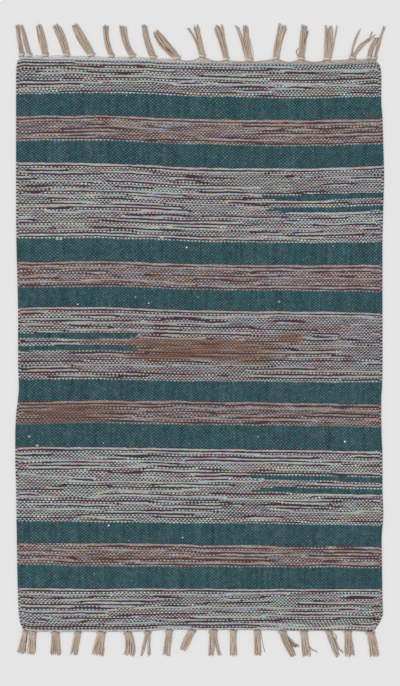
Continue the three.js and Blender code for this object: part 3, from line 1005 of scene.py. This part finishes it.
def make_cloth(x, y, warp, pick):
    """The cloth as one closed mesh: floats above, loops of weft along the sides, and a flat underside."""
    numbers = {name + "_fleck": share for name, share in fleck_places(x, y).items()}
    numbers["brown"] = brown_share(x, y)
    x, y = wandering(x, y, warp, pick)
    rim = rim_places()
    rim_i, rim_j = np.array(rim).T
    out_x = np.where(rim_i == 0, -1.0, 0) + np.where(rim_i == WARPS, 1.0, 0)
    out_y = np.where(rim_j == 0, 1.0, 0) - np.where(rim_j == PICKS, 1.0, 0)
    on_side = out_x != 0
    loop = np.where((rim_j + (rim_i > 0)) % 2 == 0, LOOP_OUT, LOOP_IN)
    bulge = EDGE_INSET * on_side + np.where(on_side, loop, 0.2)
    tuck = EDGE_INSET * on_side - UNDERSIDE_INSET
    rim_x, rim_y = x[rim_j, rim_i], y[rim_j, rim_i]

    edge = (warp == 0) | (warp == WARPS) | (pick == 0) | (pick == PICKS)
    top = columns(x, y, np.where(edge, RIM_LEVEL, WEAVE_LEVEL)).reshape(-1, 3)
    side = columns(rim_x + out_x * bulge, rim_y + out_y * bulge, SIDE_LEVEL)
    foot = columns(rim_x + out_x * tuck, rim_y + out_y * tuck, 0.0)
    coarse = [
        (i, j)
        for j in range(UNDERSIDE_STEP, PICKS, UNDERSIDE_STEP)
        for i in range(UNDERSIDE_STEP, WARPS, UNDERSIDE_STEP)
    ]
    coarse_i, coarse_j = np.array(coarse).T
    under = columns(x[coarse_j, coarse_i], y[coarse_j, coarse_i], 0.0)

    side_start = len(top)
    foot_start = side_start + len(rim)
    under_start = foot_start + len(rim)
    number_of = {place: foot_start + k for k, place in enumerate(rim)}
    number_of.update({place: under_start + k for k, place in enumerate(coarse)})

    faces = top_triangles()
    ring = np.arange(len(rim))
    ahead = np.roll(ring, -1)
    rim_number = rim_j * (WARPS + 1) + rim_i
    walls = [
        columns(rim_number, rim_number[ahead], side_start + ahead, side_start + ring),
        columns(side_start + ring, side_start + ahead, foot_start + ahead, foot_start + ring),
    ]
    faces += np.concatenate(walls).tolist()
    outer_count = len(faces)
    faces += underside_faces(number_of)

    cloth = add_piece("woven_cloth", np.concatenate([top, side, foot, under]), [], faces)
    mesh = cloth.data
    numbers["lift"] = np.where(edge, 0.0, np.where((warp + pick) % 2 == 0, 1.0, -1.0))
    rest = np.zeros(len(mesh.vertices) - x.size)
    for name, values in numbers.items():
        store_numbers(mesh, name, np.concatenate([values.ravel(), rest]))

    places = [columns(warp.ravel(), pick.ravel())]
    places += [columns(rim_i + past * out_x, rim_j - past * out_y) for past in EDGE_PICKS]
    outer = np.concatenate([*places, np.array(coarse)]).astype(float)
    beneath = outer.copy()
    beneath[foot_start:under_start] = np.array(rim)
    beneath[:, 0] += 1
    map_weave(mesh, outer, beneath, outer_count)
    return cloth


# Yarn, bare warp and tassels


Line = namedtuple("Line", "points radius tone")


def spin(name, lines, yarn, tree, finish):
    """One piece that holds a yarn along each line."""
    points = np.concatenate([line.points for line in lines])
    counts = [len(line.points) for line in lines]
    starts = np.cumsum([0, *counts[:-1]])
    edges = [(s + k, s + k + 1) for s, count in zip(starts.tolist(), counts) for k in range(count - 1)]
    piece = add_piece(name, points, edges, [])
    numbers = {"thickness": [line.radius * MM for line in lines], "tone": [line.tone for line in lines]}
    for label, carried in numbers.items():
        spread = [np.broadcast_to(number, count) for number, count in zip(carried, counts)]
        store_numbers(piece.data, label, np.concatenate(spread))
    values = {
        "Ring Spacing": yarn.spacing * MM,
        "Twist Pitch": yarn.pitch * MM,
        "Waist": yarn.waist,
        "Sides": yarn.sides,
        "Finish": finish,
    }
    grow(piece, tree, values)
    return piece


def knot_start(end, tassel):
    """How far up the rug the inner end of a tassel's knot lies."""
    return float(soft_curve(end.fell, tassel.x)) + end.out * tassel.neck


def tassel_strand(end, tassel, start, tip, pull, layer, rng):
    """One strand's line, from inside the knot to its tip. start and tip are its places across the bundle."""
    radius = OUTER_RADIUS if layer else INNER_RADIUS
    middle = knot_start(end, tassel) + end.out * KNOT_LENGTH / 2
    inner = -0.45 * KNOT_LENGTH / tassel.reach
    t = np.linspace(inner, 1 - LENGTH_SPREAD * rng.uniform(), STRAND_STEPS)
    free = np.clip(t, 0, 1)
    axis_x = tassel.x + tassel.lean * free + 4 * tassel.bow * free * (1 - free)
    slope_x = tassel.lean + 4 * tassel.bow * (1 - 2 * free)
    size = np.hypot(slope_x, tassel.reach)
    grip = KNOT_GRIP * tassel.wide * (0.78 + 0.22 * eased(0, 0.12, t))
    spread = grip * (1 - free) + tassel.tip * free + 4 * tassel.belly * free * (1 - free)
    place = start + (tip - start) * eased(0.1, 0.9, free)
    parted = pull * (np.maximum(0, free - tassel.opens) / (1 - tassel.opens)) ** FORK_CURVE
    phase = rng.uniform(0, math.tau)
    wiggle = rng.uniform(0.3, 1.0) * np.sin(phase + rng.uniform(4, 9) * t) * eased(0.05, 0.5, t)
    aside = place * spread + parted + wiggle
    x = axis_x + aside * tassel.reach / size
    y = middle + end.out * (tassel.reach * t - aside * slope_x / size)
    in_knot = 1 - eased(0.0, 0.2, t)
    rest = radius + layer * (LAYER_RISE - 0.5 * free + rng.uniform(-0.15, 0.35)) * INNER_RADIUS
    z = rest + in_knot * (KNOT_HEIGHT / 2 + 0.8 * (layer - 0.5) - rest)
    thickness = radius * (1 - 0.25 * eased(0.8, 1.0, free))
    return Line(columns(x, y, z), thickness, rng.uniform(*(OUTER_TONES if layer else INNER_TONES_WITH_PAINTED_SHADE)))


def layer_strands(end, tassel, layer, rng):
    """The strands of one layer side by side. The inner ones fill the bundle and are a little darker, painted
    shade in the cracks beneath the outer ones, which cross on top.
    """
    mean_width = (KNOT_GRIP * tassel.wide + tassel.tip) / 2 + tassel.belly * 2 / 3
    count = max(2, round(mean_width / OUTER_SPACING)) if layer else tassel.strands
    border = tassel.fork / tassel.strands - 0.5
    fewer_first = tassel.fork * 2 <= tassel.strands
    lines = []
    for index in range(count):
        start = (index + 0.5) / count - 0.5
        first = start < border
        pull = 0
        if tassel.fork and first == fewer_first:
            pull = -tassel.part if first else tassel.part
        room = 0.5 / (count if layer else tassel.strands)
        low = border + room if tassel.fork and not first else room - 0.5
        high = border - room if tassel.fork and first else 0.5 - room
        tip = start + rng.uniform(-0.3, 0.3) * layer
        tip = min(max(tip, low), max(low, high))
        lines.append(tassel_strand(end, tassel, start, tip, pull, layer, rng))
    return lines


def loose_strands(end, number):
    """The strands of one tassel that lie apart from the rest."""
    lines = []
    for strand in (Loose(*row) for row in LOOSE_STRANDS):
        if (strand.end, strand.number) == (end.name, number):
            points = np.array(strand.points, float)
            place = np.linspace(0, len(points) - 1, LOOSE_STEPS * len(points))
            knots = np.arange(len(points))
            x = soft_curve(list(zip(knots, points[:, 0])), place)
            y = soft_curve(list(zip(knots, points[:, 1])), place)
            z = strand.radius + strand.rise * np.sin(math.pi * place / place[-1]) ** 0.5
            lines.append(Line(columns(x, y, z), strand.radius, strand.tone))
    return lines


def frayed_ends(lines, rng):
    """A few fibres that spread from the tip of each strand."""
    frays = []
    for line in lines:
        tip = line.points[-1]
        heading = tip - line.points[-3]
        heading = heading / np.hypot(heading[0], heading[1])
        aside = np.array([-heading[1], heading[0], 0])
        for _ in range(FRAYS):
            start = tip - heading * FRAY_ROOT + aside * rng.uniform(-0.6, 0.6)
            reach = heading * rng.uniform(*FRAY_REACH) + aside * rng.uniform(-FRAY_SPREAD, FRAY_SPREAD)
            t = np.linspace(0, 1, FRAY_STEPS)[:, None]
            points = start + (heading * FRAY_ROOT + reach) * t + aside * 0.8 * rng.uniform(-1, 1) * t * t
            points[:, 2] = np.maximum(FRAY_RADIUS, tip[2] * (1 - 0.6 * t[:, 0]))
            tone = float(np.clip(line.tone + rng.uniform(-0.1, 0.3), 0, 1))
            frays.append(Line(points, FRAY_RADIUS, tone))
    return frays


def knot_turns(end, tassel, number, rng):
    """The slanting turns of yarn that make a tassel's knot."""
    middle = knot_start(end, tassel) + end.out * KNOT_LENGTH / 2
    slant = KNOT_SLANT if number % 2 else -KNOT_SLANT
    first, last = (math.radians(angle) for angle in KNOT_ANGLES)
    angle = np.linspace(first, last, KNOT_STEPS)
    lines = []
    # At the top, the turns' tones hold painted shade on the first turn and painted highlight on the others
    for turn, tone in zip(KNOT_TURNS, end.knot_tones):
        size = 1 - KNOT_TAPER * turn.along * turn.along
        half = (tassel.wide / 2 + KNOT_PROUD - turn.radius * 0.6) * size
        rise = (KNOT_HEIGHT / 2 - turn.radius) * size
        tilt = slant * rng.uniform(0.5, 1.3)
        x = tassel.x + half * np.cos(angle)
        y = middle + end.out * (turn.along * (KNOT_LENGTH - 2 * turn.radius) + tilt * np.cos(angle))
        z = np.maximum(turn.radius, KNOT_HEIGHT / 2 + rise * np.sin(angle))
        lines.append(Line(columns(x, y, z), turn.radius, tone + rng.uniform(-0.15, 0.05)))
    return lines


def make_tassel(end, tassel, number, tree, finish):
    """A tassel: two layers of strands drawn through a knot, with their frayed ends."""
    rng = np.random.default_rng([end.seed, number])
    strands = layer_strands(end, tassel, 0, rng) + layer_strands(end, tassel, 1, rng)
    strands += loose_strands(end, number)
    lines = strands + knot_turns(end, tassel, number, rng) + frayed_ends(strands, rng)
    name = f"tassel_{end.name}_{number:02d}"
    return name, spin(name + "_strands", lines, TASSEL_YARN, tree, finish)


def header_edge(end):
    """The outer edge of the bare warp: level at each knot, and swelling or dipping between two knots."""
    out = end.out
    first, last = end.fell[0], end.fell[-1]
    points = [(first[0], first[1] + out * (SEAT_GAP + CORNER_DEPTH))]
    for tassel, following in zip(end.tassels, [*end.tassels[1:], None]):
        half = SHOULDER_SHARE * tassel.wide
        level = knot_start(end, tassel) - out * SEAT_GAP
        points.append((max(tassel.x - half, first[0] + 0.1), level))
        points.append((min(tassel.x + half, last[0] - 0.1), level))
        if following:
            start = tassel.x + half
            stop = following.x - SHOULDER_SHARE * following.wide
            next_level = knot_start(end, following) - out * SEAT_GAP
            for share in (0.25, 0.5, 0.75):
                x = start + share * (stop - start)
                edge = level + share * (next_level - level) + out * 4 * share * (1 - share) * tassel.swell
                least = float(soft_curve(end.fell, x)) + out * (SEAT_GAP + LEAST_DEPTH)
                points.append((x, out * max(out * edge, out * least)))
    points.append((last[0], last[1] + out * (SEAT_GAP + CORNER_DEPTH)))
    return np.array(points)


def warp_tone(x):
    """The bare warp's tone, which is paler to the left."""
    return 0.85 - 0.5 * eased(-400, 300, x)


def header_cloth(end, edge):
    """The thin backing of the bare warp: a flat strip from the last weft to the scalloped edge."""
    x = np.arange(edge[0, 0], edge[-1, 0], BACKING_STEP)
    inner = soft_curve(end.fell, x) + end.out * SEAT_GAP
    outer = np.interp(x, edge[:, 0], edge[:, 1])
    rows = [inner + share * (outer - inner) for share in (0, 0.5, 1)]
    crown = (HEADER_THICK - 0.3, HEADER_THICK, HEADER_THICK - 0.5)
    upper = [columns(x, row, top) for row, top in zip(rows, crown)]
    lower = [columns(x, row, 0.0) for row in rows]
    rings = np.stack([*upper, *lower[::-1]], 1)
    count, sides = rings.shape[:2]
    faces = []
    for k in range(count - 1):
        for s in range(sides):
            a, b = k * sides + s, k * sides + (s + 1) % sides
            face = [a, b, b + sides, a + sides]
            faces.append(face[::-1] if end.out > 0 else face)
    start, stop = list(range(sides)), list(range((count - 1) * sides, count * sides))
    faces.append(start if end.out > 0 else start[::-1])
    faces.append(stop[::-1] if end.out > 0 else stop)
    return rings.reshape(-1, 3), faces


def warp_lines(end, warps_x, edge, rng):
    """Each warp from the last weft to the knot that takes it in."""
    knots = np.array([tassel.x for tassel in end.tassels])
    lines = []
    nearest = np.abs(warps_x[:, None] - knots[None]).argmin(1)
    for k, tassel in enumerate(end.tassels):
        mine = warps_x[nearest == k]
        for rank, start_x in enumerate(mine):
            place = (rank + 0.5) / len(mine) - 0.5
            goal_x = tassel.x + place * KNOT_GRIP * tassel.wide * WARP_GATHER
            t = np.linspace(0, 1, WARP_STEPS)
            x = start_x + (goal_x - start_x) * eased(-0.35, 0.95, t)
            fell = soft_curve(end.fell, x)
            limit = np.interp(x, edge[:, 0], edge[:, 1])
            goal_y = knot_start(end, tassel) + end.out * 3
            hug = 0.25 + 0.7 * min(1, abs(start_x - tassel.x) / 20) * rng.uniform(0.7, 1)
            y = fell + (limit - fell) * hug * np.sin(t * math.pi / 2)
            y = y + (goal_y - y) * eased(0.6, 1.0, t)
            z = HEADER_THICK + 0.7 * WARP_RADIUS + (KNOT_HEIGHT / 2 - 2) * eased(0.65, 1, t)
            z = z + rng.uniform(-0.2, 0.5)
            tone = warp_tone(start_x) + rng.uniform(-0.15, 0.15)
            lines.append(Line(columns(x, y, z), WARP_RADIUS, tone))
    return lines


def header_lines(end, edge, rng):
    """Threads woven over and under the bare warp. The last is the thick one along its scalloped edge."""
    lines = []
    x = np.arange(edge[0, 0] + 3, edge[-1, 0] - 3, THREAD_STEP)
    fell = soft_curve(end.fell, x)
    limit = np.interp(x, edge[:, 0], edge[:, 1])
    for thread in range(end.header_threads):
        last = thread == end.header_threads - 1
        share = end.edge_share if last else 0.9 * (thread + 0.5) / end.header_threads
        sway = THREAD_SWAY * hills((1, len(x)), (1, THREAD_HILLS), end.seed + thread)[0]
        y = fell + (limit - fell) * share + sway
        over = np.where((np.arange(len(x)) // 2 + thread) % 2 == 0, 1.0, -1.0)
        z = HEADER_THICK + 1.3 + 0.5 * over
        radius = EDGE_THREAD_RADIUS if last else HEADER_RADIUS
        tone = warp_tone(x) + rng.uniform(-0.15, 0.15)
        if last:
            tan = eased(end.tan_from - TAN_FADE, end.tan_from + TAN_FADE, x)
            tone = tone + (EDGE_THREAD_TONE - tone) * tan
        lines.append(Line(columns(x, y, z), radius, tone))
    return lines


def join_header(end, threads, edge, finish):
    """The backing strip and the threads of one end as one piece."""
    points, faces = header_cloth(end, edge)
    backing = add_piece("backing", points, [], faces)
    backing.data.materials.append(finish)
    store_numbers(backing.data, "tone", warp_tone(points[:, 0]))
    store_numbers(backing.data, "along", np.zeros(len(points)))
    with bpy.context.temp_override(active_object=threads, selected_editable_objects=[threads, backing]):
        bpy.ops.object.join()
    return threads


def make_bare_warp(end, warps_x, tree, finish):
    """The bare warp of one end."""
    rng = np.random.default_rng(end.seed)
    edge = header_edge(end)
    lines = warp_lines(end, warps_x, edge, rng) + header_lines(end, edge, rng)
    threads = spin(f"bare_warp_{end.name}_threads", lines, WARP_YARN, tree, finish)
    return join_header(end, threads, edge, finish)


# Floor, light and camera


def make_floor(finish):
    ways = [(-1, -1), (1, -1), (1, 1), (-1, 1)]
    corners = [(x * FLOOR_REACH, y * FLOOR_REACH, FLOOR_LEVEL) for x, y in ways]
    floor = add_piece("floor", corners, [], [(0, 1, 2, 3)])
    floor.data.materials.append(finish)


def light_studio():
    """An even pale room, and one large soft light from the lower left of the picture."""
    world = bpy.data.worlds.new("pale room")
    bpy.context.scene.world = world
    world.use_nodes = True
    glow = world.node_tree.nodes["Background"]
    glow.inputs["Color"].default_value = ROOM_COLOUR
    glow.inputs["Strength"].default_value = ROOM_STRENGTH
    lamp = bpy.data.lights.new("soft key", "SUN")
    lamp.energy = KEY_STRENGTH
    lamp.angle = math.radians(KEY_SPREAD)
    lamp.color = KEY_COLOUR
    key = bpy.data.objects.new("soft key", lamp)
    key.rotation_euler = [math.radians(turn) for turn in KEY_TURN]
    bpy.context.scene.collection.objects.link(key)
    bpy.context.scene.view_settings.view_transform = "Standard"


def place_camera():
    """The camera straight above the rug, far enough for its lens to take in the photographed frame."""
    sight = bpy.data.cameras.new("camera")
    sight.lens = LENS
    sight.sensor_width = SENSOR
    camera = bpy.data.objects.new("camera", sight)
    height = CLOTH_THICK + FRAME_HEIGHT * LENS / SENSOR
    camera.location = (FRAME_CENTRE[0] * MM, FRAME_CENTRE[1] * MM, height * MM)
    bpy.context.scene.collection.objects.link(camera)
    bpy.context.scene.camera = camera


# The rug

place_camera()
light_studio()
make_floor(floor_finish())

lattice_x, lattice_y, warp_numbers, pick_numbers = weave_lattice()
wool = weave_finish(lattice_x)
tassel_cotton = cotton_finish("plied tassel cotton", COTTONS)
header_cotton = cotton_finish("pale warp cotton", HEADER_COTTONS)
yarn_tree = plied_yarn_tree()

cloth = make_cloth(lattice_x, lattice_y, warp_numbers, pick_numbers)
relief = {
    "Float Height": FLOAT_HEIGHT * MM,
    "Unevenness": FLOAT_UNEVENNESS,
    "Seed": RELIEF_SEED,
    "Finish": wool,
}
grow(cloth, float_relief_tree(), relief)
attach(cloth, "root")
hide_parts("field")

for end in ENDS:
    row = 0 if end.name == "top" else PICKS
    bare_warp = make_bare_warp(end, lattice_x[row], yarn_tree, header_cotton)
    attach(bare_warp, "root")
    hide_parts(f"bare_warp_{end.name}")
    for number, tassel in enumerate(end.tassels, 1):
        node, piece = make_tassel(end, tassel, number, yarn_tree, tassel_cotton)
        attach(piece, "root")
        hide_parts(node)
